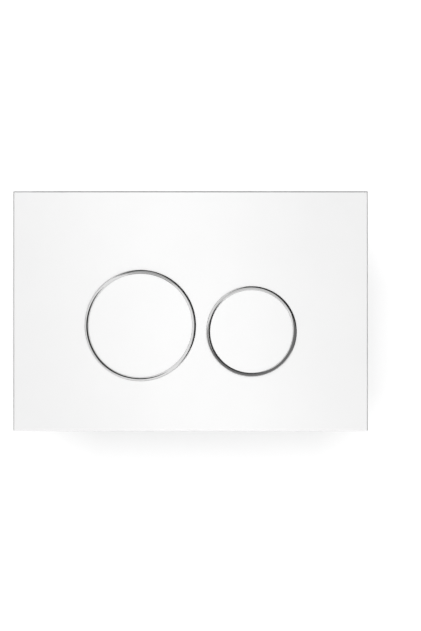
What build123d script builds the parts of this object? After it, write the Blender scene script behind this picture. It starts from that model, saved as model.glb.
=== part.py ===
"""Dual-flush button plate for a concealed cistern, with its carrier, mounting frame and push rods.

X runs to the right, Z up, and the wall is the plane Y = 0 with the room on the -Y side.
A level is a distance in front of the wall in millimetres, and is negative inside the wall.
"""

import os
from math import cos, radians, sin
from types import SimpleNamespace

from build123d import *

os.makedirs("parts", exist_ok=True)

# Face plate
plate_width = 246.0
plate_height = 166.5
plate_depth = 12.0
front_wall = 2.8
rim_wall = 2.4
rim_draft = 3.0
edge_chamfer = 0.4
rib_wall = 1.6
rib_height = 3.0
rib_columns = 4
rib_rows = 3
rib_spacing_x = 58.0
rib_spacing_z = 47.0
post_width = 6.0
post_spacing_x = 180.0
post_spacing_z = 108.0
grip_columns = 3
grip_spacing = 80.0
grip_width = 10.0
grip_wall = 2.0
grip_barb = 1.6
grip_barb_length = 3.0
grip_barb_land = 0.8

# Buttons: the large one is the full flush, the small one the reduced flush
large_ring_diameter = 76.7
large_x = -34.7
large_z = -9.9
small_ring_diameter = 62.3
small_x = 42.3
small_z = -14.0
button_travel = 5.0
button_proud = 0.4
opening_gap = 0.2
cap_thickness = 2.4
cap_gap = 0.1
ring_band = 2.4
ring_crown = 0.6
ring_bevel = 0.75
ring_skirt = 1.5
arm_count = 6
arm_width = 11.0
arm_thickness = 2.0
arm_inset = 0.4
stem_diameter = 12.0
stem_wall = 2.0
stem_reach = 3.0
clip_width = 6.0
clip_thickness = 1.4
clip_barb = 0.8
clip_length = 1.7
clip_land = 0.5
leg_angles = [30, 150, 270]
clip_angles = [90, 210, 330]
leg_inset = 9.0
leg_width = 7.0
leg_thickness = 2.2
leg_barb = 1.4
leg_barb_length = 3.2
leg_barb_land = 0.8

# Fits and clearances
guide_clearance = 0.15
slot_clearance = 0.4
clip_clearance = 0.2
stop_gap = 0.3
spring_clearance = 0.5
seat_gap = 0.3
rest_gap = 0.05
thread_clearance = 0.1
hole_clearance = 0.3

# Return springs
spring_wire = 0.9
spring_turns = 5
spring_end_turns = 1
spring_length = 17.0
spring_steps = 10
wire_sides = 6

# Bumpers
bumper_height = 2.4
bumper_width = 5.0
bumper_length = 8.0
bumper_pocket = 0.8
bumper_inset = 1.5

# Carrier
carrier_wall = 2.4
carrier_overhang = 3.0
cup_wall = 1.8
cup_floor = 1.8
guide_wall = 1.6
lip_wall = 1.8
lip_depth = 3.5
web_wall = 1.6
web_depth = 3.0
web_spacing = 50.0
web_columns = 4
upper_web_z = 17.0
lower_web_z = -48.0
hook_width = 12.0
hook_spacing = 120.0
hook_length = 11.0
hook_barb = 2.0
hook_barb_length = 4.0
hook_barb_land = 1.0
hook_slit = 1.5

# Mounting frame in the wall opening
frame_inset_x = 21.0
frame_inset_z = 19.25
frame_wall = 2.4
frame_corner = 5.0
bar_height = 52.0
bar_drop = 10.0
bar_wall = 2.6
bar_flange = 8.0
bar_flange_wall = 2.0
bush_length = 10.0
bush_wall = 2.0

# Push rods
rod_diameter = 7.0
rod_reach = 52.0
head_diameter = 22.0
head_thickness = 5.0
head_socket = 3.4
head_side_count = 24
head_notches = 8
head_notch = 2.0

# Spacer bolts and depth nuts
bolt_spacing = 160.0
bolt_diameter = 8.0
bolt_head_diameter = 15.0
bolt_head_height = 4.0
bolt_slot_width = 1.6
bolt_slot_depth = 1.8
bolt_reach = 42.0
stud_diameter = 6.0
stud_length = 18.0
nut_diameter = 14.0
nut_side_count = 6
nut_thickness = 6.0
wing_span = 34.0
wing_wall = 3.0
wing_height = 9.0

# Levels, from the room into the wall
front_back = plate_depth - front_wall
cap_front = plate_depth + button_proud
cap_back = cap_front - cap_thickness
ring_back = cap_back - ring_skirt
disc_back = ring_back - arm_thickness
bumper_front = disc_back - button_travel - stop_gap
carrier_front = bumper_front - bumper_height
carrier_back = carrier_front - carrier_wall
spring_seat = disc_back - spring_length
cup_back = spring_seat - cup_floor
barb_front = carrier_back - stop_gap
leg_back = barb_front - leg_barb_length
stem_back = cup_back - stem_reach
grip_back = carrier_back - seat_gap
grip_end = grip_back - grip_barb_length
frame_front = carrier_back - seat_gap
head_front = stem_back - rest_gap
head_back = head_front - head_thickness
bar_front = head_back - button_travel - stop_gap
bar_back = bar_front - bar_wall
bush_back = bar_back - bush_length
rod_front = head_front - head_thickness + head_socket
rod_back = bar_back - rod_reach
hook_back = carrier_back - hook_length
hook_barb_front = hook_back + hook_barb_length
nut_front = bar_back - rest_gap
nut_back = nut_front - nut_thickness
stud_front = bar_back - bolt_reach

# Radii about a button axis
stem_radius = stem_diameter / 2
guide_radius = stem_radius + guide_clearance
tube_radius = guide_radius + guide_wall
coil_radius = tube_radius + spring_clearance + spring_wire / 2
pocket_radius = coil_radius + spring_wire / 2 + spring_clearance
cup_radius = pocket_radius + cup_wall
hub_radius = cup_radius
bumper_radius = cup_radius + bumper_inset + bumper_width / 2

# Outlines and positions
inner_width = plate_width - 2 * rim_wall
inner_height = plate_height - 2 * rim_wall
frame_width = plate_width - 2 * frame_inset_x
frame_height = plate_height - 2 * frame_inset_z
frame_inner_width = frame_width - 2 * frame_wall
frame_inner_height = frame_height - 2 * frame_wall
frame_inner_corner = frame_corner - frame_wall
carrier_width = frame_width + 2 * carrier_overhang
carrier_height = frame_height + 2 * carrier_overhang
lip_width = frame_inner_width - 2 * slot_clearance
lip_height = frame_inner_height - 2 * slot_clearance
rod_spacing = small_x - large_x
rod_z = (large_z + small_z) / 2
rod_radius = rod_diameter / 2
bush_radius = rod_radius + guide_clearance


def chord_radius(radius):
    """Distance from the axis at which an arm's two corners lie on the radius."""
    return (radius**2 - (arm_width / 2) ** 2) ** 0.5


def button(prefix, ring_diameter, x, z, rod_x):
    """One button: its name, axis and ring radius, and the radii that follow from them."""
    radius = ring_diameter / 2
    cap_radius = radius - ring_band - cap_gap
    return SimpleNamespace(
        prefix=prefix,
        at=(x, z),
        rod_at=(rod_x, rod_z),
        ring_radius=radius,
        opening_radius=radius + opening_gap,
        cap_radius=cap_radius,
        arm_radius=chord_radius(radius - arm_inset),
        step_radius=chord_radius(cap_radius) - cap_gap,
        leg_radius=radius - leg_inset,
        cap_clip_radius=(cap_radius + hub_radius) / 2,
        ring_clip_radius=radius - ring_band / 2,
    )


buttons = [
    button("large_button", large_ring_diameter, large_x, large_z, -rod_spacing / 2),
    button("small_button", small_ring_diameter, small_x, small_z, rod_spacing / 2),
]


def facing(level, at=(0, 0)):
    """Plane that faces the room at a level, with its origin at the point (x, z)."""
    return Plane(origin=(at[0], -level, at[1]), x_dir=(1, 0, 0), z_dir=(0, -1, 0))


def section(at=(0, 0), angle=0):
    """Plane through a room axis: x runs outwards from it at the angle, y towards the room."""
    turn = radians(angle)
    return Plane(
        origin=(at[0], 0, at[1]),
        x_dir=(cos(turn), 0, sin(turn)),
        z_dir=(sin(turn), 0, -cos(turn)),
    )


def room_axis(at):
    """Axis through the point (x, z) that points to the room."""
    return Axis((at[0], 0, at[1]), (0, -1, 0))


def save(part, name):
    """Label one sub-part and write its file."""
    part.label = name
    export_step(part, f"parts/{name}.step")


def make_face_plate():
    with BuildPart() as plate:
        with BuildSketch(facing(0)):
            Rectangle(plate_width, plate_height)
        extrude(amount=plate_depth, taper=rim_draft)
        front_edges = plate.edges().group_by(Axis.Y)[0]
        corner_edges = plate.edges().group_by(Axis.Y)[1]
        chamfer(front_edges + corner_edges, edge_chamfer)
        with BuildSketch(facing(0)):
            Rectangle(inner_width, inner_height)
        extrude(amount=front_back, mode=Mode.SUBTRACT)
        with BuildSketch(facing(front_back)):
            with GridLocations(rib_spacing_x, 0, rib_columns, 1):
                Rectangle(rib_wall, inner_height + rim_wall)
            with GridLocations(0, rib_spacing_z, 1, rib_rows):
                Rectangle(inner_width + rim_wall, rib_wall)
        extrude(amount=-rib_height)
        with BuildSketch(facing(front_back)):
            with GridLocations(post_spacing_x, post_spacing_z, 2, 2):
                Rectangle(post_width, post_width)
        extrude(amount=carrier_front - front_back)
        for side in (1, -1):
            inner = side * (carrier_height / 2 + slot_clearance)
            outer = inner + side * grip_wall
            barb = side * (carrier_height / 2 - grip_barb)
            for column in range(grip_columns):
                grip_x = (column - (grip_columns - 1) / 2) * grip_spacing
                with BuildSketch(Plane.YZ.offset(grip_x)):
                    with BuildLine():
                        Polyline(
                            (-front_back, outer),
                            (-front_back, inner),
                            (-grip_back, inner),
                            (-grip_back, barb),
                            (grip_barb_land - grip_back, barb),
                            (-grip_end, inner),
                            (-grip_end, outer),
                            close=True,
                        )
                    make_face()
                extrude(amount=grip_width / 2, both=True)
        for b in buttons:
            with BuildSketch(facing(plate_depth, b.at)):
                Circle(b.opening_radius)
            extrude(amount=-plate_depth, mode=Mode.SUBTRACT)
    save(plate.part, "face_plate")


def clip_outline(radius, front, side):
    """Section of a clip that passes back through a plunger arm; side 1 turns its barb outwards."""
    near = radius - side * clip_thickness / 2
    far = radius + side * clip_thickness / 2
    back = disc_back - stop_gap
    return [
        (near, front),
        (far, front),
        (far, back),
        (far + side * clip_barb, back),
        (far + side * clip_barb, back - clip_land),
        (radius, back - clip_length),
        (near, back - clip_length),
    ]


def make_cap(b):
    with BuildPart() as cap:
        with BuildSketch(facing(cap_back, b.at)):
            Circle(b.cap_radius)
        extrude(amount=cap_thickness)
        for angle in clip_angles:
            with BuildSketch(section(b.at, angle)):
                with BuildLine():
                    Polyline(*clip_outline(b.cap_clip_radius, cap_back, 1), close=True)
                make_face()
            extrude(amount=clip_width / 2, both=True)
    save(cap.part, f"{b.prefix}_cap")


def make_ring(b):
    outer = b.ring_radius
    inner = outer - ring_band
    with BuildPart() as ring:
        with BuildSketch(section(b.at)):
            with BuildLine():
                Polyline(
                    (outer, ring_back),
                    (outer, cap_front),
                    (outer - ring_bevel, cap_front + ring_crown),
                    (inner + ring_bevel, cap_front + ring_crown),
                    (inner, cap_front),
                    (inner, ring_back),
                    close=True,
                )
            make_face()
        revolve(axis=room_axis(b.at))
        for angle in clip_angles:
            with BuildSketch(section(b.at, angle)):
                with BuildLine():
                    Polyline(*clip_outline(b.ring_clip_radius, ring_back, -1), close=True)
                make_face()
            extrude(amount=clip_width / 2, both=True)
    save(ring.part, f"{b.prefix}_ring")


def make_plunger(b):
    leg_in = b.leg_radius - leg_thickness / 2
    leg_out = b.leg_radius + leg_thickness / 2
    with BuildPart() as plunger:
        with BuildSketch(facing(disc_back, b.at)):
            Circle(hub_radius)
        extrude(amount=cap_back - disc_back)
        for arm in range(arm_count):
            with BuildSketch(section(b.at, leg_angles[0] + 360 * arm / arm_count)):
                with BuildLine():
                    Polyline(
                        (stem_radius, disc_back),
                        (stem_radius, cap_back),
                        (b.step_radius, cap_back),
                        (b.step_radius, ring_back),
                        (b.arm_radius, ring_back),
                        (b.arm_radius, disc_back),
                        close=True,
                    )
                make_face()
            extrude(amount=arm_width / 2, both=True)
        with BuildSketch(facing(disc_back, b.at)):
            Circle(stem_radius)
        extrude(amount=stem_back - disc_back)
        with BuildSketch(facing(cap_back, b.at)):
            Circle(stem_radius - stem_wall)
        extrude(amount=stem_back + stem_wall - cap_back, mode=Mode.SUBTRACT)
        for angle in leg_angles:
            with BuildSketch(section(b.at, angle)):
                with BuildLine():
                    Polyline(
                        (leg_in, disc_back),
                        (leg_out, disc_back),
                        (leg_out, barb_front),
                        (leg_out + leg_barb, barb_front),
                        (leg_out + leg_barb, barb_front - leg_barb_land),
                        (b.leg_radius, leg_back),
                        (leg_in, leg_back),
                        close=True,
                    )
                make_face()
            extrude(amount=leg_width / 2, both=True)
        slot = clip_thickness + 2 * clip_clearance
        with BuildSketch(facing(disc_back, b.at)):
            with PolarLocations(b.cap_clip_radius, len(clip_angles), clip_angles[0]):
                Rectangle(slot, clip_width + 2 * clip_clearance)
            with PolarLocations(b.ring_clip_radius, len(clip_angles), clip_angles[0]):
                Rectangle(slot, clip_width + 2 * clip_clearance)
            with PolarLocations(b.ring_clip_radius + slot / 2, len(clip_angles), clip_angles[0]):
                Rectangle(slot, clip_width + 2 * clip_clearance)
        extrude(amount=cap_back - disc_back, mode=Mode.SUBTRACT)
    save(plunger.part, f"{b.prefix}_plunger")


def coil_level(turns):
    """Level of the wire centre after so many turns: closed end turns, open turns between them."""
    low = spring_seat + spring_wire / 2 + rest_gap
    high = disc_back - spring_wire / 2 - rest_gap
    closed = spring_end_turns * (spring_wire + rest_gap)
    pitch = (high - low - 2 * closed) / (spring_turns - 2 * spring_end_turns)
    if turns <= spring_end_turns:
        return low + closed * turns / spring_end_turns
    if turns >= spring_turns - spring_end_turns:
        return high - closed * (spring_turns - turns) / spring_end_turns
    return low + closed + pitch * (turns - spring_end_turns)


def make_spring(b):
    with BuildPart() as spring:
        for step in range(spring_turns * spring_steps + 1):
            turns = step / spring_steps
            cut = section(b.at, 360 * turns)
            with BuildSketch(cut):
                with Locations((coil_radius, coil_level(turns))):
                    RegularPolygon(spring_wire / 2, wire_sides)
        loft(ruled=True)
    save(spring.part, f"{b.prefix}_spring")


def make_bumpers(b):
    with BuildPart() as bumpers:
        with BuildSketch(facing(carrier_front - bumper_pocket, b.at)):
            with PolarLocations(bumper_radius, len(clip_angles), clip_angles[0]):
                Rectangle(bumper_width, bumper_length)
        extrude(amount=bumper_height + bumper_pocket)
    save(bumpers.part, f"{b.prefix}_bumpers")


def make_carrier():
    with BuildPart() as carrier:
        with BuildSketch(facing(carrier_back)):
            RectangleRounded(carrier_width, carrier_height, frame_corner)
        extrude(amount=carrier_wall)
        with BuildSketch(facing(carrier_back)):
            RectangleRounded(lip_width, lip_height, frame_inner_corner)
            Rectangle(lip_width - 2 * lip_wall, lip_height - 2 * lip_wall, mode=Mode.SUBTRACT)
        extrude(amount=-lip_depth)
        for side, web_z in ((1, upper_web_z), (-1, lower_web_z)):
            web_end = side * (lip_height - lip_wall) / 2
            with BuildSketch(facing(carrier_back, (0, web_z))):
                Rectangle(lip_width - lip_wall, web_wall)
            extrude(amount=-web_depth)
            with BuildSketch(facing(carrier_back, (0, (web_z + web_end) / 2))):
                with GridLocations(web_spacing, 0, web_columns, 1):
                    Rectangle(web_wall, abs(web_end - web_z))
            extrude(amount=-web_depth)
        for side in (1, -1):
            outer = side * lip_height / 2
            inner = outer - side * lip_wall
            barb = outer + side * hook_barb
            for hook_x in (-hook_spacing / 2, hook_spacing / 2):
                with BuildSketch(facing(carrier_back, (hook_x, side * lip_height / 2))):
                    with GridLocations(hook_width + hook_slit, 0, 2, 1):
                        Rectangle(hook_slit, 2 * lip_wall)
                extrude(amount=-lip_depth, mode=Mode.SUBTRACT)
                with BuildSketch(Plane.YZ.offset(hook_x)):
                    with BuildLine():
                        Polyline(
                            (-carrier_back, inner),
                            (-carrier_back, outer),
                            (-hook_barb_front, outer),
                            (-hook_barb_front, barb),
                            (hook_barb_land - hook_barb_front, barb),
                            (-hook_back, outer),
                            (-hook_back, inner),
                            close=True,
                        )
                    make_face()
                extrude(amount=hook_width / 2, both=True)
        for b in buttons:
            with BuildSketch(facing(cup_back, b.at)):
                Circle(cup_radius)
            extrude(amount=carrier_back - cup_back)
            with BuildSketch(facing(spring_seat, b.at)):
                Circle(pocket_radius)
                Circle(tube_radius, mode=Mode.SUBTRACT)
            extrude(amount=carrier_front - spring_seat, mode=Mode.SUBTRACT)
            with BuildSketch(facing(cup_back, b.at)):
                Circle(guide_radius)
                with PolarLocations(b.leg_radius, len(leg_angles), leg_angles[0]):
                    Rectangle(leg_thickness + 2 * slot_clearance, leg_width + 2 * slot_clearance)
            extrude(amount=carrier_front - cup_back, mode=Mode.SUBTRACT)
            with BuildSketch(facing(carrier_front, b.at)):
                with PolarLocations(bumper_radius, len(clip_angles), clip_angles[0]):
                    Rectangle(bumper_width + 2 * rest_gap, bumper_length + 2 * rest_gap)
            extrude(amount=-bumper_pocket, mode=Mode.SUBTRACT)
    save(carrier.part, "button_carrier")


def make_frame():
    with BuildPart() as frame:
        with BuildSketch(facing(bar_back)):
            RectangleRounded(frame_width, frame_height, frame_corner)
            RectangleRounded(
                frame_inner_width, frame_inner_height, frame_inner_corner, mode=Mode.SUBTRACT
            )
        extrude(amount=frame_front - bar_back)
        with BuildSketch(facing(bar_back, (0, -bar_drop))):
            Rectangle(frame_width - frame_wall, bar_height)
        extrude(amount=bar_wall)
        with BuildSketch(facing(bar_front, (0, -bar_drop))):
            with GridLocations(0, bar_height - bar_flange_wall, 1, 2):
                Rectangle(frame_width - frame_wall, bar_flange_wall)
        extrude(amount=bar_flange)
        with BuildSketch(facing(bar_back, (0, rod_z))):
            with GridLocations(rod_spacing, 0, 2, 1):
                Circle(bush_radius + bush_wall)
        extrude(amount=-bush_length)
        with BuildSketch(facing(bar_front, (0, rod_z))):
            with GridLocations(rod_spacing, 0, 2, 1):
                Circle(bush_radius)
        extrude(amount=bush_back - bar_front, mode=Mode.SUBTRACT)
        with BuildSketch(facing(bar_front)):
            with GridLocations(bolt_spacing, 0, 2, 1):
                Circle(bolt_diameter / 2 + hole_clearance)
        extrude(amount=-bar_wall, mode=Mode.SUBTRACT)
        window_mid = (hook_barb_front + hook_back) / 2
        with BuildSketch(Plane.XY):
            with Locations((0, -window_mid)):
                with GridLocations(hook_spacing, 0, 2, 1):
                    Rectangle(hook_width + 2 * slot_clearance, hook_barb_length + 2 * slot_clearance)
        extrude(amount=frame_height, both=True, mode=Mode.SUBTRACT)
    save(frame.part, "mounting_frame")


def make_rod(name, at):
    with BuildPart() as rod:
        with BuildSketch(facing(rod_front, at)):
            Circle(rod_radius)
        extrude(amount=rod_back - rod_front)
    save(rod.part, f"{name}_push_rod")


def make_rod_head(name, at):
    with BuildPart() as head:
        with BuildSketch(facing(head_back, at)):
            RegularPolygon(head_diameter / 2, head_side_count)
            with PolarLocations(head_diameter / 2, head_notches):
                Rectangle(head_notch, head_notch, mode=Mode.SUBTRACT)
        extrude(amount=head_thickness)
        with BuildSketch(facing(head_back, at)):
            Circle(rod_radius + thread_clearance)
        extrude(amount=head_socket + rest_gap, mode=Mode.SUBTRACT)
    save(head.part, f"{name}_rod_head")


def make_bolt(name, at):
    with BuildPart() as bolt:
        with BuildSketch(facing(bar_front, at)):
            Circle(bolt_head_diameter / 2)
        extrude(amount=bolt_head_height)
        with BuildSketch(facing(bar_front + bolt_head_height, at)):
            Rectangle(bolt_head_diameter, bolt_slot_width)
        extrude(amount=-bolt_slot_depth, mode=Mode.SUBTRACT)
        with BuildSketch(facing(bar_front, at)):
            Circle(bolt_diameter / 2)
        extrude(amount=stud_front - bar_front)
        with BuildSketch(facing(stud_front, at)):
            Circle(stud_diameter / 2)
        extrude(amount=-stud_length)
    save(bolt.part, f"{name}_spacer_bolt")


def make_nut(name, at):
    with BuildPart() as nut:
        with BuildSketch(facing(nut_front, at)):
            RegularPolygon(nut_diameter / 2, nut_side_count)
        extrude(amount=-nut_thickness)
        with BuildSketch(Plane.XY.offset(at[1])):
            with BuildLine():
                Polyline(
                    (at[0] - wing_span / 2, -nut_back),
                    (at[0] - wing_span / 2, wing_height - nut_front),
                    (at[0], -nut_back),
                    (at[0] + wing_span / 2, wing_height - nut_front),
                    (at[0] + wing_span / 2, -nut_back),
                    (at[0], -nut_front),
                    close=True,
                )
            make_face()
        extrude(amount=wing_wall / 2, both=True)
        with BuildSketch(facing(nut_front, at)):
            Circle(bolt_diameter / 2 + thread_clearance)
        extrude(amount=-wing_height, mode=Mode.SUBTRACT)
    save(nut.part, f"{name}_depth_nut")


make_face_plate()
make_carrier()
make_frame()

for b in buttons:
    make_cap(b)
    make_ring(b)
    make_plunger(b)
    make_spring(b)
    make_bumpers(b)

for name, b in zip(("full_flush", "half_flush"), buttons):
    make_rod(name, b.rod_at)
    make_rod_head(name, b.rod_at)

for name, bolt_x in (("left", -bolt_spacing / 2), ("right", bolt_spacing / 2)):
    make_bolt(name, (bolt_x, 0))
    make_nut(name, (bolt_x, 0))
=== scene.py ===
import math

import bmesh
import bpy
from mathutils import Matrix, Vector


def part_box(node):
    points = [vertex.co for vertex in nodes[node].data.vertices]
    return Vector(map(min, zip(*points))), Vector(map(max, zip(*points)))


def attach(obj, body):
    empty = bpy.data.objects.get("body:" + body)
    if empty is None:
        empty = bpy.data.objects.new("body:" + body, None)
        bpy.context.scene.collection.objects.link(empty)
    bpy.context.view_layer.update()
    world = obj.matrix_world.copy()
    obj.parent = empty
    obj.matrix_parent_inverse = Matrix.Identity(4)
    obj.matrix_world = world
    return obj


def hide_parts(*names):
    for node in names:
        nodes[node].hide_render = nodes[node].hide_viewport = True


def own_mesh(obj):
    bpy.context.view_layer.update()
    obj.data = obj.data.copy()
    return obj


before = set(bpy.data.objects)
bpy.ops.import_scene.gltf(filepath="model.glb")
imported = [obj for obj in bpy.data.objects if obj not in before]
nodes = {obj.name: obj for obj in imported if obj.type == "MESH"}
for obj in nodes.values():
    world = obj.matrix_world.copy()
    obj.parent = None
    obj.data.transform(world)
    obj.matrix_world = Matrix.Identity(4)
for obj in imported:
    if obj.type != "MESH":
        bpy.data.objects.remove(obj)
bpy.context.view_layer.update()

# Looks of a dual-flush button plate: finishes, finely modelled pieces, stage, light and camera.
# Lengths are in metres, angles in degrees. X runs right, Z up, Y into the wall, the plane Y = 0.

MM = 0.001

# The photograph's frame
IMAGE_WIDTH = 421
IMAGE_HEIGHT = 631
PLATE_WIDTH_PX = 355.0
PLATE_CENTRE_PX = (190.5, 311.25)
CAMERA_DISTANCE = 10.0
CAMERA_REACH = 50.0
SENSOR = 36.0

# Shading: edges where faces meet at more than this stay sharp
SMOOTH_ANGLE = 30
WIRE_SMOOTH_ANGLE = 50

# Chrome rings: a crown, whose rise is a share of half its width, and a flat land inside it
RING_BAND = 2.4 * MM
RING_LANDS = {"large_button": 0.5 * MM, "small_button": 0.05 * MM}
RING_RISE = 0.375
RING_DEPTH = 4.5 * MM
RING_SEGMENTS = 288
CROWN_STEPS = 20
CLIP_ANGLES = (90, 210, 330)
CLIP_WIDTH = 6.0 * MM
CLIP_THICKNESS = 1.4 * MM
CLIP_BARB = 0.8 * MM
CLIP_LAND = 0.5 * MM
CLIP_BARB_LENGTH = 1.7 * MM

# Return springs: seat height and closed pitch of the wire are in wire diameters
SPRING_WIRE = 0.9 * MM
SPRING_LENGTH = 17.0 * MM
SPRING_TURNS = 5
SPRING_END_TURNS = 1
SPRING_SEAT = 0.55
SPRING_CLOSED_PITCH = 1.05
SPRING_STEPS = 48
WIRE_SIDES = 12

# Bolts and rods
BOLT_HEAD_HEIGHT = 4.0 * MM
BOLT_SLOT_WIDTH = 1.6 * MM
BOLT_SLOT_DEPTH = 1.8 * MM
BOLT_DIAMETER = 8.0 * MM
BOLT_PITCH = 2.0 * MM
STUD_DIAMETER = 6.0 * MM
STUD_LENGTH = 18.0 * MM
STUD_PITCH = 1.0 * MM
ROD_PITCH = 2.0 * MM
ROD_THREAD_LENGTH = 22.0 * MM
EDGE_BREAK = 0.5 * MM
TURNED_SEGMENTS = 72

# Threads: depth as a share of the pitch, flats at root and crest as shares of half a pitch
THREAD_DEPTH = 0.3
THREAD_FLAT = 0.25
THREAD_SEGMENTS = 36
THREAD_ROWS = 8

# Broken edges of moulded nodes
WELD_GAP = 0.001 * MM
FLAT_ANGLE = 1
EDGE_ANGLE = 50
EDGE_SEGMENTS = 2

# The part of a noise texture's range that most of it lies in
NOISE_LOW = 0.3
NOISE_HIGH = 0.7

# Stage
FLOOR_DROP = 0.30
BACKDROP_Y = 0.10
STAGE_REACH = 4.0

# Flags: cards that only reflections see. Below the limit, a card counts as facing along Y.
FACING_Y_LIMIT = 0.01
ARC_CARD_GAP = 0.5 * MM
ARC_CARD_TAPER = 35
ARC_CARD_TIP = 0.02
ARC_CARD_STEPS = 48
EDGE_FLAG_Y = 0.04
EDGE_FLAG_REACH = 0.21
TOP_FLAG_Z = 0.175
LEVEL_FLAG_WIDTH = 0.3
SIDE_FLAG_X = 0.215
SIDE_FLAG_TOP = 0.1

# Soft light all round: brightest from the front and back, a little to the right, and weakest from
# the sides and above
LIGHT_BRIGHT = 1.78
LIGHT_DARK = 0.28
LIGHT_FALL = (0.1, 0.9)
LIGHT_SIDE = 0.9
LIGHT_SHIFT = -0.1
LIGHT_BELOW = 0.4

# Lamps
SHADOW_LAMP_PLACE = (-0.22, -2.2, 0.34)
SHADOW_LAMP_SIZE = 2.2
SHADOW_LAMP_POWER = 200
STRIP_X = -0.002
STRIP_Y = -0.112
STRIP_WIDTH = 0.09
STRIP_HEIGHT = 0.5
STRIP_POWER = 0.05
STRIP_LEAN = 10


def new_object(name, vertices, faces, smooth_angle=SMOOTH_ANGLE):
    """A mesh object with smooth shading, sharp where faces meet at more than the angle."""
    mesh = bpy.data.meshes.new(name)
    mesh.from_pydata(vertices, [], faces)
    work = bmesh.new()
    work.from_mesh(mesh)
    bmesh.ops.recalc_face_normals(work, faces=work.faces)
    work.to_mesh(mesh)
    work.free()
    mesh.shade_smooth()
    mesh.set_sharp_from_angle(angle=math.radians(smooth_angle))
    piece = bpy.data.objects.new(name, mesh)
    bpy.context.scene.collection.objects.link(piece)
    return piece


def finish_piece(piece, material, body, slot, *replaced):
    """Paint a piece, seat it on its body and let it stand for CAD nodes; the slot is not used."""
    piece.data.materials.clear()
    piece.data.materials.append(material)
    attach(piece, body)
    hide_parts(*replaced)


def axis_point(centre, radius, turn, y):
    """Point at a radius and a turn in radians about the axis along Y through centre."""
    return (centre[0] + radius * math.cos(turn), y, centre[1] + radius * math.sin(turn))


def node_axis(node):
    """Centre (x, z) of a node's box."""
    low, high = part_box(node)
    return ((low.x + high.x) / 2, (low.z + high.z) / 2)


def tube_faces(rows, columns, first=0, closed_rows=False):
    """Quads over a grid of points whose columns close on themselves, and whose rows may."""
    faces = []
    for row in range(rows if closed_rows else rows - 1):
        for column in range(columns):
            here = first + row * columns
            there = first + (row + 1) % rows * columns
            after = (column + 1) % columns
            faces.append((here + column, here + after, there + after, there + column))
    return faces


def end_faces(rows, columns, first=0):
    """The two many-sided faces that close the ends of a tube."""
    last = first + (rows - 1) * columns
    return [tuple(range(first, first + columns)), tuple(range(last, last + columns))]


def add_turned(points, faces, centre, profile):
    """Add a turned solid: the (radius, y) profile about the axis, closed flat at both ends."""
    first = len(points)
    for radius, y in profile:
        for step in range(TURNED_SEGMENTS):
            points.append(axis_point(centre, radius, math.tau * step / TURNED_SEGMENTS, y))
    faces += tube_faces(len(profile), TURNED_SEGMENTS, first)
    faces += end_faces(len(profile), TURNED_SEGMENTS, first)


def add_thread(points, faces, centre, radius, start, end, pitch):
    """Add a threaded rod between two y values, its thread running out at both ends."""
    first = len(points)
    depth = THREAD_DEPTH * pitch
    rows = round((end - start) / pitch * THREAD_ROWS) + 1
    for row in range(rows):
        y = start + (end - start) * row / (rows - 1)
        runout = min(1, row / THREAD_ROWS, (rows - 1 - row) / THREAD_ROWS)
        for step in range(THREAD_SEGMENTS):
            phase = (y / pitch - step / THREAD_SEGMENTS) % 1
            slope = (abs(2 * phase - 1) - THREAD_FLAT) / (1 - 2 * THREAD_FLAT)
            flank = min(1, max(0, slope))
            height = radius - depth * (1 - runout * flank)
            points.append(axis_point(centre, height, math.tau * step / THREAD_SEGMENTS, y))
    faces += tube_faces(rows, THREAD_SEGMENTS, first)
    faces += end_faces(rows, THREAD_SEGMENTS, first)


def add_prism(points, faces, centre, angle, outline, width):
    """Add a prism: an outline of (radius, y) points at an angle about the axis, as wide as width."""
    first = len(points)
    turn = math.radians(angle)
    outwards = (math.cos(turn), math.sin(turn))
    for side in (-width / 2, width / 2):
        for radius, y in outline:
            x = centre[0] + radius * outwards[0] - side * outwards[1]
            z = centre[1] + radius * outwards[1] + side * outwards[0]
            points.append((x, y, z))
    faces += tube_faces(2, len(outline), first)
    faces += end_faces(2, len(outline), first)


def make_ring(button, material):
    """A chrome ring with a smooth crown outside a narrow land, and the three clips on its back."""
    node = f"{button}_ring"
    low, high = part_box(node)
    centre = node_axis(node)
    outer = (high.x - low.x) / 2
    half = (RING_BAND - RING_LANDS[button]) / 2
    crown = half * RING_RISE
    bow = (half**2 + crown**2) / (2 * crown)
    lean = math.asin(half / bow)
    back = low.y + RING_DEPTH
    profile = [(outer, back)]
    for step in range(CROWN_STEPS + 1):
        tilt = lean * (1 - 2 * step / CROWN_STEPS)
        profile.append((outer - half + bow * math.sin(tilt), low.y + bow * (1 - math.cos(tilt))))
    profile.append((outer - RING_BAND, low.y + crown))
    profile.append((outer - RING_BAND, back))
    points = []
    for radius, y in profile:
        for step in range(RING_SEGMENTS):
            points.append(axis_point(centre, radius, math.tau * step / RING_SEGMENTS, y))
    faces = tube_faces(len(profile), RING_SEGMENTS, closed_rows=True)
    barb_back = high.y - CLIP_BARB_LENGTH
    middle = outer - RING_BAND / 2
    near = middle + CLIP_THICKNESS / 2
    far = middle - CLIP_THICKNESS / 2
    clip = [
        (near, back - EDGE_BREAK),
        (far, back - EDGE_BREAK),
        (far, barb_back),
        (far - CLIP_BARB, barb_back),
        (far - CLIP_BARB, barb_back + CLIP_LAND),
        (middle, high.y),
        (near, high.y),
    ]
    for angle in CLIP_ANGLES:
        add_prism(points, faces, centre, angle, clip, CLIP_WIDTH)
    ring = new_object(f"{button}_chrome_ring", points, faces)
    finish_piece(ring, material, button, "chrome_plate", node)


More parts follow.
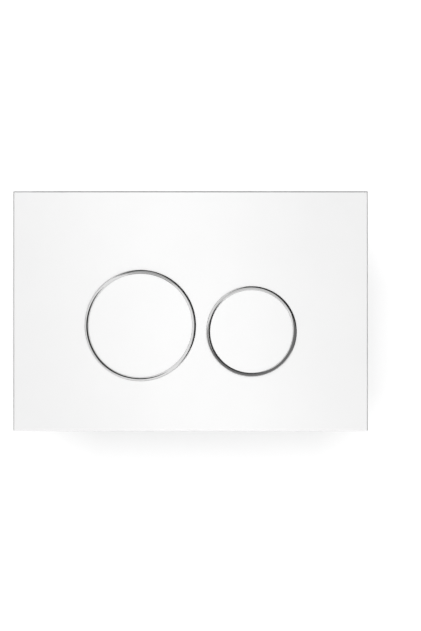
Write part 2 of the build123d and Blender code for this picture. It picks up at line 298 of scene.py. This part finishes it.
def coil_offset(turns):
    """How far the wire's centre stands from the seat after so many turns."""
    low = SPRING_WIRE * SPRING_SEAT
    high = SPRING_LENGTH - low
    closed = SPRING_END_TURNS * SPRING_WIRE * SPRING_CLOSED_PITCH
    pitch = (high - low - 2 * closed) / (SPRING_TURNS - 2 * SPRING_END_TURNS)
    if turns <= SPRING_END_TURNS:
        return low + closed * turns / SPRING_END_TURNS
    if turns >= SPRING_TURNS - SPRING_END_TURNS:
        return high - closed * (SPRING_TURNS - turns) / SPRING_END_TURNS
    return low + closed + pitch * (turns - SPRING_END_TURNS)


def make_spring(button, material):
    """A return spring of round wire with closed ends."""
    node = f"{button}_spring"
    low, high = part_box(node)
    centre = node_axis(node)
    wire = SPRING_WIRE / 2
    coil = (high.x - low.x) / 2 - wire
    seat = (low.y + high.y + SPRING_LENGTH) / 2
    rows = SPRING_TURNS * SPRING_STEPS + 1
    points = []
    for row in range(rows):
        turns = row / SPRING_STEPS
        y = seat - coil_offset(turns)
        for side in range(WIRE_SIDES):
            around = math.tau * side / WIRE_SIDES
            radius = coil + wire * math.cos(around)
            points.append(axis_point(centre, radius, math.tau * turns, y + wire * math.sin(around)))
    faces = tube_faces(rows, WIRE_SIDES) + end_faces(rows, WIRE_SIDES)
    spring = new_object(f"{button}_wire_spring", points, faces, WIRE_SMOOTH_ANGLE)
    finish_piece(spring, material, "plate", "spring_steel", node)
    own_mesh(spring)


def cut_slot(piece, centre, width, front, back, reach):
    """Cut a straight slot along X across a head."""
    corners = [
        (centre[0] + x, y, centre[1] + z)
        for x in (-reach, reach)
        for y in (front, back)
        for z in (-width / 2, width / 2)
    ]
    sides = [(0, 1, 3, 2), (4, 5, 7, 6), (0, 1, 5, 4), (2, 3, 7, 6), (0, 2, 6, 4), (1, 3, 7, 5)]
    cutter = new_object("slot_cutter", corners, sides)
    modifier = piece.modifiers.new("slot", "BOOLEAN")
    modifier.object = cutter
    modifier.solver = "EXACT"
    graph = bpy.context.evaluated_depsgraph_get()
    cut = bpy.data.meshes.new_from_object(piece.evaluated_get(graph))
    piece.modifiers.clear()
    piece.data = cut
    bpy.data.objects.remove(cutter)


def join(piece, other):
    """Add another object's mesh to a piece and drop that object."""
    work = bmesh.new()
    work.from_mesh(piece.data)
    work.from_mesh(other.data)
    work.to_mesh(piece.data)
    work.free()
    piece.data.shade_smooth()
    piece.data.set_sharp_from_angle(angle=math.radians(SMOOTH_ANGLE))
    bpy.data.objects.remove(other)


def make_bolt(side, material):
    """A stepped spacer bolt: slotted head, coarse thread for the depth nut, fine stud thread."""
    node = f"{side}_spacer_bolt"
    low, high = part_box(node)
    centre = node_axis(node)
    head = (high.x - low.x) / 2
    shoulder = low.y + BOLT_HEAD_HEIGHT
    stud = high.y - STUD_LENGTH
    profile = [
        (head - EDGE_BREAK, low.y),
        (head - EDGE_BREAK / 3, low.y + EDGE_BREAK / 3),
        (head, low.y + EDGE_BREAK),
        (head, shoulder - EDGE_BREAK / 2),
        (head - EDGE_BREAK / 2, shoulder),
    ]
    points = []
    faces = []
    add_turned(points, faces, centre, profile)
    bolt = new_object(f"{side}_threaded_bolt", points, faces)
    cut_slot(bolt, centre, BOLT_SLOT_WIDTH, low.y - EDGE_BREAK, low.y + BOLT_SLOT_DEPTH, 2 * head)
    points = []
    faces = []
    add_thread(points, faces, centre, BOLT_DIAMETER / 2, shoulder - EDGE_BREAK, stud, BOLT_PITCH)
    add_thread(points, faces, centre, STUD_DIAMETER / 2, stud - EDGE_BREAK, high.y, STUD_PITCH)
    join(bolt, new_object("threads", points, faces))
    finish_piece(bolt, material, "plate", "zinc_steel", node)


def make_rod(flush, material):
    """A push rod: thread for its adjusting head, plain shank, broken edge at the pushing end."""
    node = f"{flush}_push_rod"
    low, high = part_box(node)
    centre = node_axis(node)
    radius = (high.x - low.x) / 2
    shank = low.y + ROD_THREAD_LENGTH
    profile = [
        (radius - EDGE_BREAK, shank - EDGE_BREAK),
        (radius, shank),
        (radius, high.y - EDGE_BREAK),
        (radius - EDGE_BREAK, high.y),
    ]
    points = []
    faces = []
    add_turned(points, faces, centre, profile)
    add_thread(points, faces, centre, radius, low.y, shank - EDGE_BREAK / 2, ROD_PITCH)
    rod = new_object(f"{flush}_threaded_rod", points, faces)
    finish_piece(rod, material, f"{flush}_rod", "rod_moulding", node)


def new_material(name):
    """A node material: its tree, its shader, and object coordinates for its textures."""
    material = bpy.data.materials.new(name)
    material.use_nodes = True
    tree = material.node_tree
    place = tree.nodes.new("ShaderNodeTexCoord")
    return material, tree, tree.nodes["Principled BSDF"], place.outputs["Object"]


def noise(tree, place, scale, detail=2.0):
    """A noise texture in object space; scale is in waves per metre."""
    texture = tree.nodes.new("ShaderNodeTexNoise")
    texture.inputs["Scale"].default_value = scale
    texture.inputs["Detail"].default_value = detail
    tree.links.new(place, texture.inputs["Vector"])
    return texture.outputs["Fac"]


def vary_colour(tree, shader, source, low, high):
    """Blend the colour between two by a texture."""
    ramp = tree.nodes.new("ShaderNodeValToRGB")
    ramp.color_ramp.elements[0].position = NOISE_LOW
    ramp.color_ramp.elements[0].color = (*low, 1)
    ramp.color_ramp.elements[1].position = NOISE_HIGH
    ramp.color_ramp.elements[1].color = (*high, 1)
    tree.links.new(source, ramp.inputs["Fac"])
    tree.links.new(ramp.outputs["Color"], shader.inputs["Base Color"])


def vary_roughness(tree, shader, source, low, high):
    """Spread the roughness over a range by a texture."""
    spread = tree.nodes.new("ShaderNodeMapRange")
    spread.inputs["From Min"].default_value = NOISE_LOW
    spread.inputs["From Max"].default_value = NOISE_HIGH
    spread.inputs["To Min"].default_value = low
    spread.inputs["To Max"].default_value = high
    tree.links.new(source, spread.inputs["Value"])
    tree.links.new(spread.outputs["Result"], shader.inputs["Roughness"])


def add_bump(tree, shader, source, strength, height):
    """Raise a texture as a bump of the given height."""
    bump = tree.nodes.new("ShaderNodeBump")
    bump.inputs["Strength"].default_value = strength
    bump.inputs["Distance"].default_value = height
    tree.links.new(source, bump.inputs["Height"])
    tree.links.new(bump.outputs["Normal"], shader.inputs["Normal"])


def grey(value):
    """A colour without hue."""
    return (value, value, value)


def shades(colour, spread):
    """A darker and a lighter shade of a colour."""
    low = tuple(channel * (1 - spread) for channel in colour)
    high = tuple(channel * (1 + spread) for channel in colour)
    return low, high


def gloss_white(name, tone):
    """Polished white moulding: faint clouding, slight orange peel, uneven gloss."""
    material, tree, shader, place = new_material(name)
    cloud = 0.006
    clouding = noise(tree, place, scale=30)
    vary_colour(tree, shader, clouding, grey(tone - cloud), grey(tone + cloud))
    vary_roughness(tree, shader, noise(tree, place, scale=90, detail=4), low=0.16, high=0.24)
    add_bump(tree, shader, noise(tree, place, scale=700), strength=0.15, height=0.02 * MM)
    return material


def chrome(name):
    """Bright plating with a trace of haze and polishing ripple."""
    material, tree, shader, place = new_material(name)
    shader.inputs["Metallic"].default_value = 1.0
    vary_colour(tree, shader, noise(tree, place, scale=60), low=grey(0.71), high=grey(0.75))
    vary_roughness(tree, shader, noise(tree, place, scale=400, detail=4), low=0.03, high=0.06)
    add_bump(tree, shader, noise(tree, place, scale=900), strength=0.05, height=0.01 * MM)
    return material


def moulding(name, colour, spread, roughness):
    """Moulded plastic with a spark-eroded grain, flow clouding and patchy sheen."""
    material, tree, shader, place = new_material(name)
    patch = 0.08
    vary_colour(tree, shader, noise(tree, place, scale=45, detail=5), *shades(colour, spread))
    sheen = noise(tree, place, scale=160, detail=4)
    vary_roughness(tree, shader, sheen, roughness - patch, roughness + patch)
    grain = noise(tree, place, scale=2600, detail=3)
    add_bump(tree, shader, grain, strength=0.25, height=0.05 * MM)
    return material


def steel(name, colour, spread, roughness, grain):
    """Plated or drawn steel with a fine grain and an uneven passivated tone."""
    material, tree, shader, place = new_material(name)
    shader.inputs["Metallic"].default_value = 1.0
    polish = 0.08
    wear = 0.1
    vary_colour(tree, shader, noise(tree, place, scale=220, detail=5), *shades(colour, spread))
    haze = noise(tree, place, scale=grain, detail=3)
    vary_roughness(tree, shader, haze, roughness - polish, roughness + wear)
    add_bump(tree, shader, noise(tree, place, scale=grain), strength=0.2, height=0.02 * MM)
    return material


def rubber(name):
    """Soft black rubber with a dusty bloom and a fine matt grain."""
    material, tree, shader, place = new_material(name)
    bloom = noise(tree, place, scale=300, detail=5)
    vary_colour(tree, shader, bloom, low=grey(0.045), high=grey(0.075))
    vary_roughness(tree, shader, noise(tree, place, scale=500, detail=3), low=0.65, high=0.85)
    add_bump(tree, shader, noise(tree, place, scale=3500), strength=0.3, height=0.04 * MM)
    return material


def paint_node(name, material, edge=0.0):
    """Give a CAD node its material and, where an edge is given, softly broken edges."""
    node = nodes[name]
    node.data.materials.clear()
    node.data.materials.append(material)
    if edge:
        weld = node.modifiers.new("weld", "WELD")
        weld.merge_threshold = WELD_GAP
        flats = node.modifiers.new("flats", "DECIMATE")
        flats.decimate_type = "DISSOLVE"
        flats.angle_limit = math.radians(FLAT_ANGLE)
        bevel = node.modifiers.new("edges", "BEVEL")
        bevel.width = edge
        bevel.segments = EDGE_SEGMENTS
        bevel.limit_method = "ANGLE"
        bevel.angle_limit = math.radians(EDGE_ANGLE)
        bevel.harden_normals = True


def add_sheet(name, corners, material):
    """A flat four-cornered sheet of the stage."""
    sheet = new_object(name, corners, [(0, 1, 2, 3)])
    sheet.data.materials.append(material)
    return sheet


def bare_material(name):
    """A node material without its usual shader: its tree, and the socket for its surface."""
    material = bpy.data.materials.new(name)
    material.use_nodes = True
    tree = material.node_tree
    tree.nodes.remove(tree.nodes["Principled BSDF"])
    return material, tree, tree.nodes["Material Output"].inputs["Surface"]


def camera_white(name, bounce, glow):
    """Pale paper: it takes the object's shadow, and glows a little for the camera to stay white.

    Only the camera sees it, and only from its front.
    """
    material, tree, surface = bare_material(name)
    paper = tree.nodes.new("ShaderNodeBsdfDiffuse")
    paper.inputs["Color"].default_value = (*grey(bounce), 1)
    light = tree.nodes.new("ShaderNodeEmission")
    light.inputs["Strength"].default_value = glow
    both = tree.nodes.new("ShaderNodeAddShader")
    tree.links.new(paper.outputs[0], both.inputs[0])
    tree.links.new(light.outputs[0], both.inputs[1])
    clear = tree.nodes.new("ShaderNodeBsdfTransparent")
    path = tree.nodes.new("ShaderNodeLightPath")
    side = tree.nodes.new("ShaderNodeNewGeometry")
    front = tree.nodes.new("ShaderNodeMath")
    front.operation = "SUBTRACT"
    front.use_clamp = True
    tree.links.new(path.outputs["Is Camera Ray"], front.inputs[0])
    tree.links.new(side.outputs["Backfacing"], front.inputs[1])
    mix = tree.nodes.new("ShaderNodeMixShader")
    tree.links.new(front.outputs[0], mix.inputs["Fac"])
    tree.links.new(clear.outputs[0], mix.inputs[1])
    tree.links.new(both.outputs[0], mix.inputs[2])
    tree.links.new(mix.outputs[0], surface)
    return material


def add_stage():
    """A pale floor all round and a white backdrop behind the object."""
    floor = add_sheet(
        "floor",
        [
            (-STAGE_REACH, -STAGE_REACH, -FLOOR_DROP),
            (STAGE_REACH, -STAGE_REACH, -FLOOR_DROP),
            (STAGE_REACH, STAGE_REACH, -FLOOR_DROP),
            (-STAGE_REACH, STAGE_REACH, -FLOOR_DROP),
        ],
        camera_white("floor_paper", bounce=0.2, glow=0.84),
    )
    backdrop = add_sheet(
        "backdrop",
        [
            (-STAGE_REACH, BACKDROP_Y, -FLOOR_DROP),
            (STAGE_REACH, BACKDROP_Y, -FLOOR_DROP),
            (STAGE_REACH, BACKDROP_Y, STAGE_REACH),
            (-STAGE_REACH, BACKDROP_Y, STAGE_REACH),
        ],
        camera_white("backdrop_paper", bounce=0.2, glow=0.55),
    )
    return floor, backdrop


def card_material(name, shade):
    """Plain card of one shade for reflections."""
    material, tree, surface = bare_material(name)
    light = tree.nodes.new("ShaderNodeEmission")
    light.inputs["Color"].default_value = (*grey(shade), 1)
    tree.links.new(light.outputs[0], surface)
    return material


def show_in_reflections(card):
    """Hide a card from everything but reflections."""
    card.visible_camera = False
    card.visible_diffuse = False
    card.visible_shadow = False
    card.visible_transmission = False


def polar(distance, off_axis, turn):
    """Point so far from the origin, at an angle off the camera's axis and a turn from the right."""
    off = math.radians(off_axis)
    around = math.radians(turn)
    return (
        distance * math.sin(off) * math.cos(around),
        -distance * math.cos(off),
        distance * math.sin(off) * math.sin(around),
    )


def add_card(name, centre, target, width, height, material):
    """A studio flag that faces a target and shows only in reflections."""
    away = (Vector(centre) - Vector(target)).normalized()
    across = away.cross(Vector((0, 1, 0)))
    if across.length < FACING_Y_LIMIT:
        across = Vector((1, 0, 0))
    across.normalize()
    up = across.cross(away)
    corners = [
        Vector(centre) + across * x * width / 2 + up * y * height / 2
        for x, y in ((-1, -1), (1, -1), (1, 1), (-1, 1))
    ]
    show_in_reflections(add_sheet(name, corners, material))


def add_arc_card(name, node, start, end, inwards, outwards, material):
    """A flag close in front of a ring: a flat arc along its band that narrows to both ends.

    Inwards and outwards are its reaches from the band's middle at the start and at the end. Where
    inwards is negative, the arc lies wholly outside the middle.
    """
    low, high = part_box(node)
    centre = node_axis(node)
    middle = (high.x - low.x - RING_BAND) / 2
    y = low.y - ARC_CARD_GAP
    inner = []
    outer = []
    for step in range(ARC_CARD_STEPS + 1):
        share = step / ARC_CARD_STEPS
        turn = start + (end - start) * share
        taper = min(1, ARC_CARD_TIP + min(turn - start, end - turn) / ARC_CARD_TAPER)
        reach_in = inwards[0] + (inwards[1] - inwards[0]) * share
        reach_out = outwards[0] + (outwards[1] - outwards[0]) * share
        inner.append(axis_point(centre, middle - taper * reach_in, math.radians(turn), y))
        outer.append(axis_point(centre, middle + taper * reach_out, math.radians(turn), y))
    row = len(inner)
    faces = [(step, step + 1, row + step + 1, row + step) for step in range(ARC_CARD_STEPS)]
    card = new_object(name, inner + outer, faces)
    card.data.materials.append(material)
    show_in_reflections(card)


def add_ring_flags():
    """The cards that draw the dark and grey lines in the chrome rings."""
    add_card(
        "upper_right_flag",
        polar(distance=3.0, off_axis=50, turn=37),
        target=(0, 0, 0),
        width=9.6,
        height=5.8,
        material=card_material("dark_card", shade=0.03),
    )
    add_arc_card(
        "lower_flag",
        "small_button_ring",
        start=162,
        end=384,
        inwards=(-0.7 * MM, 2.8 * MM),
        outwards=(2.8 * MM, 2.8 * MM),
        material=card_material("grey_card", shade=0.2),
    )
    add_arc_card(
        "upper_flag",
        "large_button_ring",
        start=40,
        end=115,
        inwards=(2.8 * MM, 2.8 * MM),
        outwards=(1.0 * MM, 1.6 * MM),
        material=card_material("pale_card", shade=0.48),
    )
    add_arc_card(
        "large_left_flag",
        "large_button_ring",
        start=140,
        end=260,
        inwards=(0.6 * MM, 0.4 * MM),
        outwards=(0.45 * MM, 1.0 * MM),
        material=card_material("deep_card", shade=0.06),
    )
    add_arc_card(
        "large_right_flag",
        "large_button_ring",
        start=-30,
        end=60,
        inwards=(0.2 * MM, 0.3 * MM),
        outwards=(0.6 * MM, 0.6 * MM),
        material=card_material("mid_card", shade=0.25),
    )
    add_arc_card(
        "small_upper_flag",
        "small_button_ring",
        start=24,
        end=165,
        inwards=(2.8 * MM, 0.2 * MM),
        outwards=(0.1 * MM, 1.8 * MM),
        material=card_material("paler_card", shade=0.72),
    )


def add_edge_flags():
    """The cards that draw the thin lines along the plate's edges."""
    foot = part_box("face_plate")[0].z
    bottom = foot - EDGE_FLAG_REACH / 2
    for side, z, shade in (("top", TOP_FLAG_Z, 0.03), ("bottom", bottom, 0.78)):
        add_card(
            f"{side}_flag",
            (0, EDGE_FLAG_Y, z),
            target=(0, 0, z),
            width=LEVEL_FLAG_WIDTH,
            height=EDGE_FLAG_REACH,
            material=card_material(f"{side}_card", shade),
        )
    middle = (SIDE_FLAG_TOP + foot) / 2
    for side, x, shade in (("right", SIDE_FLAG_X, 0.11), ("left", -SIDE_FLAG_X, 0.45)):
        add_card(
            f"{side}_flag",
            (x, EDGE_FLAG_Y, middle),
            target=(x, 0, middle),
            width=EDGE_FLAG_REACH,
            height=SIDE_FLAG_TOP - foot,
            material=card_material(f"{side}_card", shade),
        )


def math_node(tree, operation, first, second):
    """One arithmetic node on two sockets or numbers."""
    node = tree.nodes.new("ShaderNodeMath")
    node.operation = operation
    for socket, value in zip(node.inputs, (first, second)):
        if isinstance(value, (int, float)):
            socket.default_value = value
        else:
            tree.links.new(value, socket)
    return node.outputs[0]


def light_world():
    """White for the camera and in reflections; as light, strongest from the front and the back."""
    world = bpy.data.worlds.new("studio")
    bpy.context.scene.world = world
    world.use_nodes = True
    tree = world.node_tree
    background = tree.nodes["Background"]
    background.inputs["Color"].default_value = (1, 1, 1, 1)
    place = tree.nodes.new("ShaderNodeTexCoord")
    split = tree.nodes.new("ShaderNodeSeparateXYZ")
    tree.links.new(place.outputs["Generated"], split.inputs[0])
    below = math_node(tree, "MULTIPLY", split.outputs["Z"], -LIGHT_BELOW)
    upright = math_node(tree, "MAXIMUM", split.outputs["Z"], below)
    sideways = math_node(tree, "MULTIPLY", split.outputs["X"], LIGHT_SIDE)
    sideways = math_node(tree, "ADD", sideways, LIGHT_SHIFT)
    upright_square = math_node(tree, "POWER", upright, 2)
    sideways_square = math_node(tree, "MULTIPLY", sideways, sideways)
    square = math_node(tree, "ADD", upright_square, sideways_square)
    fall = tree.nodes.new("ShaderNodeMapRange")
    fall.inputs["From Min"].default_value = LIGHT_FALL[0]
    fall.inputs["From Max"].default_value = LIGHT_FALL[1]
    fall.inputs["To Min"].default_value = LIGHT_BRIGHT
    fall.inputs["To Max"].default_value = LIGHT_DARK
    tree.links.new(math_node(tree, "SQRT", square, 0), fall.inputs["Value"])
    path = tree.nodes.new("ShaderNodeLightPath")
    seen = math_node(tree, "MAXIMUM", path.outputs["Is Camera Ray"], path.outputs["Is Glossy Ray"])
    seen = math_node(tree, "MAXIMUM", seen, path.outputs["Is Transmission Ray"])
    choose = tree.nodes.new("ShaderNodeMix")
    choose.inputs["B"].default_value = 1.0
    tree.links.new(seen, choose.inputs["Factor"])
    tree.links.new(fall.outputs["Result"], choose.inputs["A"])
    tree.links.new(choose.outputs["Result"], background.inputs["Strength"])


def add_lamp(name, place, target, width, height, power, lean=0):
    """A soft rectangular lamp, unseen by the camera and in reflections."""
    data = bpy.data.lights.new(name, "AREA")
    data.shape = "RECTANGLE"
    data.size = width
    data.size_y = height
    data.energy = power
    lamp = bpy.data.objects.new(name, data)
    lamp.location = place
    aim = Vector(target) - Vector(place)
    lamp.rotation_euler = aim.to_track_quat("-Z", "Y").to_euler()
    lamp.rotation_euler.rotate_axis("Z", math.radians(lean))
    lamp.visible_camera = False
    lamp.visible_glossy = False
    bpy.context.scene.collection.objects.link(lamp)
    return lamp


def add_lamps(sheets):
    """A lamp that casts the object's shadow on the sheets alone, and a weak strip before the plate."""
    shadow_lamp = add_lamp(
        "shadow_lamp",
        SHADOW_LAMP_PLACE,
        target=(0, 0, 0),
        width=SHADOW_LAMP_SIZE,
        height=SHADOW_LAMP_SIZE,
        power=SHADOW_LAMP_POWER,
    )
    paper_only = bpy.data.collections.new("paper_only")
    for sheet in sheets:
        paper_only.objects.link(sheet)
    shadow_lamp.light_linking.receiver_collection = paper_only
    add_lamp(
        "front_strip",
        (STRIP_X, STRIP_Y, 0),
        target=(STRIP_X, 0, 0),
        width=STRIP_WIDTH,
        height=STRIP_HEIGHT,
        power=STRIP_POWER,
        lean=STRIP_LEAN,
    )


def add_camera():
    """A camera square to the plate, which shows it where the photograph does."""
    low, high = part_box("face_plate")
    pixel = (high.x - low.x) / PLATE_WIDTH_PX
    data = bpy.data.cameras.new("camera")
    data.sensor_width = SENSOR
    data.lens = SENSOR * CAMERA_DISTANCE / (IMAGE_HEIGHT * pixel)
    data.clip_end = CAMERA_REACH
    camera = bpy.data.objects.new("camera", data)
    camera.location = (
        (IMAGE_WIDTH / 2 - PLATE_CENTRE_PX[0]) * pixel,
        low.y - CAMERA_DISTANCE,
        (PLATE_CENTRE_PX[1] - IMAGE_HEIGHT / 2) * pixel,
    )
    camera.rotation_euler = (math.radians(90), 0, 0)
    bpy.context.scene.collection.objects.link(camera)
    bpy.context.scene.camera = camera


# Finishes that several pieces share
chrome_plate = chrome("chrome_plate_look")
spring_steel = steel(
    "spring_steel_look", colour=(0.55, 0.56, 0.58), spread=0.06, roughness=0.28, grain=1800
)
zinc_steel = steel(
    "zinc_steel_look", colour=(0.42, 0.435, 0.455), spread=0.14, roughness=0.32, grain=900
)
rod_white = moulding("rod_moulding_look", colour=(0.78, 0.79, 0.77), spread=0.02, roughness=0.42)
nut_blue = moulding("nut_moulding_look", colour=(0.2, 0.29, 0.4), spread=0.08, roughness=0.5)
plunger_grey = moulding(
    "plunger_moulding_look", colour=(0.42, 0.44, 0.46), spread=0.05, roughness=0.48
)
black_rubber = rubber("bumper_rubber_look")
cap_white = gloss_white("cap_white", tone=0.9)

# Plate, carrier and frame
plate_white = gloss_white("plate_white", tone=0.895)
carrier_grey = moulding("grey_moulding_look", colour=(0.6, 0.62, 0.64), spread=0.03, roughness=0.5)
frame_dark = moulding("dark_moulding_look", colour=(0.13, 0.14, 0.15), spread=0.1, roughness=0.52)
paint_node("face_plate", plate_white)
paint_node("button_carrier", carrier_grey, edge=0.25 * MM)
paint_node("mounting_frame", frame_dark, edge=0.3 * MM)

# Buttons, bolts and rods
for button in ("large_button", "small_button"):
    paint_node(f"{button}_cap", cap_white)
    paint_node(f"{button}_plunger", plunger_grey, edge=0.2 * MM)
    paint_node(f"{button}_bumpers", black_rubber, edge=0.6 * MM)
    make_ring(button, chrome_plate)
    make_spring(button, spring_steel)
for side in ("left", "right"):
    paint_node(f"{side}_depth_nut", nut_blue, edge=0.4 * MM)
    make_bolt(side, zinc_steel)
for flush in ("full_flush", "half_flush"):
    paint_node(f"{flush}_rod_head", nut_blue, edge=0.3 * MM)
    make_rod(flush, rod_white)

# Studio
sheets = add_stage()
add_ring_flags()
add_edge_flags()
light_world()
add_lamps(sheets)
add_camera()
bpy.context.scene.view_settings.view_transform = "Standard"
